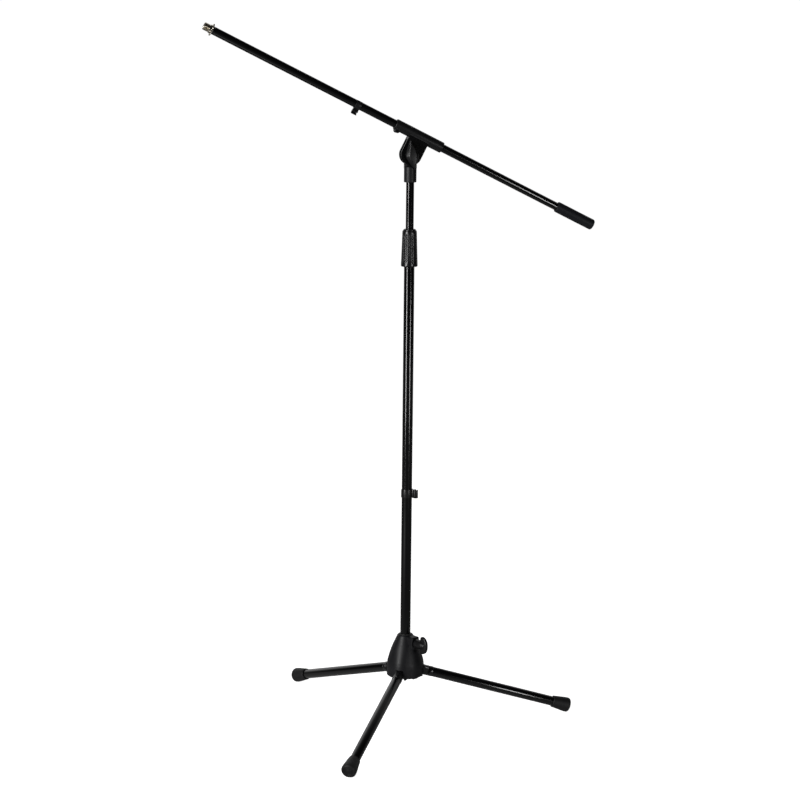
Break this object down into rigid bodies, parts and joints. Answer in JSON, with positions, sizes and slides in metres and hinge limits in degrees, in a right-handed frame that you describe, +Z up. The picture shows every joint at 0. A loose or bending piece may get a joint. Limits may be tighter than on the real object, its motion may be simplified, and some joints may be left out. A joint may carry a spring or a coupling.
{
  "type": "boom microphone stand",
  "caption": "Floor microphone stand: folding tripod base, telescoping mast with twist clutch, and a tilting, sliding boom with a threaded microphone end and a weighted grip end.",
  "frame": {"origin": "the floor, on the mast axis", "axes": "+Z up the mast; leg A points along +X; the boom lies in the XZ plane with its microphone end towards -X and up"},
  "size_m": [0.7973, 0.6292, 1.4281],
  "materials": {
    "tube_paint": "gloss black powder coat on steel tube",
    "base_plastic": "satin black moulded housing",
    "clutch_plastic": "semi-gloss black moulding",
    "joint_plastic": "matte black glass-filled moulding, fine grain",
    "knob_plastic": "semi-gloss black moulding",
    "foot_rubber": "dull black rubber",
    "grip_rubber": "fine-textured blue-black rubber",
    "nylon": "black nylon",
    "zinc_steel": "zinc-plated steel",
    "plated_thread": "nickel-plated thread, faintly brassy",
    "brass_part": "turned brass"
  },
  "bodies": {
    "base": {"base_body": "base_plastic", "base_sleeve": "nylon", "clamp_pad": "nylon", "clamp_nut": "zinc_steel", "hinge_retainer": "base_plastic", "retainer_screws": "zinc_steel", "leg_hinge_pins": "zinc_steel"},
    "base_knob": {"base_knob": "knob_plastic", "base_knob_screw": "zinc_steel"},
    "leg_a": {"leg_fitting_a": "clutch_plastic", "leg_tube_a": "tube_paint", "foot_a": "foot_rubber"},
    "leg_b": {"leg_fitting_b": "clutch_plastic", "leg_tube_b": "tube_paint", "foot_b": "foot_rubber"},
    "leg_c": {"leg_fitting_c": "clutch_plastic", "leg_tube_c": "tube_paint", "foot_c": "foot_rubber"},
    "mast": {"lower_tube": "tube_paint", "mast_bottom_plug": "nylon", "clutch_collet": "clutch_plastic"},
    "clutch": {"clutch_grip": "clutch_plastic"},
    "mast_clip": {"mast_cable_clip": "knob_plastic"},
    "guide": {"guide_bush": "nylon"},
    "upper": {"upper_tube": "tube_paint", "upper_tube_plug": "nylon", "boom_socket": "base_plastic", "socket_pin": "zinc_steel"},
    "holder": {"holder_front": "joint_plastic", "holder_rear": "joint_plastic", "holder_screw": "tube_paint", "friction_washers": "nylon", "tilt_bolt": "zinc_steel"},
    "boom_knob": {"wing_knob": "knob_plastic", "knob_insert": "brass_part"},
    "liner": {"boom_liner": "nylon"},
    "boom": {"boom_tube": "tube_paint", "counterweight": "zinc_steel", "grip_cover": "grip_rubber", "thread_insert": "zinc_steel"},
    "boom_clip": {"boom_cable_clip": "knob_plastic"},
    "lock_ring": {"lock_ring": "plated_thread"},
    "adapter": {"thread_adapter": "plated_thread"}
  },
  "joints": [
    {"name": "leg_a_fold", "type": "hinge", "parent": "base", "child": "leg_a", "pos_m": [0.03, 0, 0.11199], "axis": [0, 1, 0], "range_deg": [0, 68]},
    {"name": "leg_b_fold", "type": "hinge", "parent": "base", "child": "leg_b", "pos_m": [-0.015, 0.02598, 0.11199], "axis": [-0.866, -0.5, 0], "range_deg": [0, 68]},
    {"name": "leg_c_fold", "type": "hinge", "parent": "base", "child": "leg_c", "pos_m": [-0.015, -0.02598, 0.11199], "axis": [0.866, -0.5, 0], "range_deg": [0, 68]},
    {"name": "base_knob_turn", "type": "hinge", "parent": "base", "child": "base_knob", "pos_m": [0.02, -0.03464, 0.1746], "axis": [0.5, -0.866, 0], "range_deg": [0, 360]},
    {"name": "mast_slide", "type": "slide", "parent": "base", "child": "mast", "axis": [0, 0, -1], "range_m": [0, 0.28]},
    {"name": "clutch_twist", "type": "hinge", "parent": "mast", "child": "clutch", "pos_m": [0, 0, 0.9858], "axis": [0, 0, 1], "range_deg": [0, 180]},
    {"name": "mast_clip_slide", "type": "slide", "parent": "mast", "child": "mast_clip", "axis": [0, 0, 1], "range_m": [-0.25, 0.42]},
    {"name": "height_slide", "type": "slide", "parent": "mast", "child": "guide", "axis": [0, 0, 1], "range_m": [-0.088, 0.45]},
    {"name": "pan", "type": "hinge", "parent": "guide", "child": "upper", "pos_m": [0, 0, 0.4458], "axis": [0, 0, 1], "continuous": true},
    {"name": "boom_tilt", "type": "hinge", "parent": "upper", "child": "holder", "pos_m": [0, 0, 1.1731], "axis": [0, 1, 0], "range_deg": [-116, 63]},
    {"name": "boom_knob_turn", "type": "hinge", "parent": "holder", "child": "boom_knob", "pos_m": [0, -0.02, 1.1731], "axis": [0, -1, 0], "range_deg": [0, 360]},
    {"name": "boom_roll", "type": "hinge", "parent": "holder", "child": "liner", "pos_m": [0.01778, 0, 1.20893], "axis": [-0.8957, 0, 0.4446], "continuous": true},
    {"name": "boom_slide", "type": "slide", "parent": "liner", "child": "boom", "axis": [-0.8957, 0, 0.4446], "range_m": [-0.04, 0.26]},
    {"name": "boom_clip_slide", "type": "slide", "parent": "boom", "child": "boom_clip", "axis": [0.8957, 0, -0.4446], "range_m": [-0.3, 0.025]},
    {"name": "lock_ring_turn", "type": "hinge", "parent": "boom", "child": "lock_ring", "pos_m": [-0.39335, 0, 1.41302], "axis": [-0.8957, 0, 0.4446], "continuous": true},
    {"name": "adapter_turn", "type": "hinge", "parent": "boom", "child": "adapter", "pos_m": [-0.40051, 0, 1.41657], "axis": [-0.8957, 0, 0.4446], "continuous": true}
  ]
}
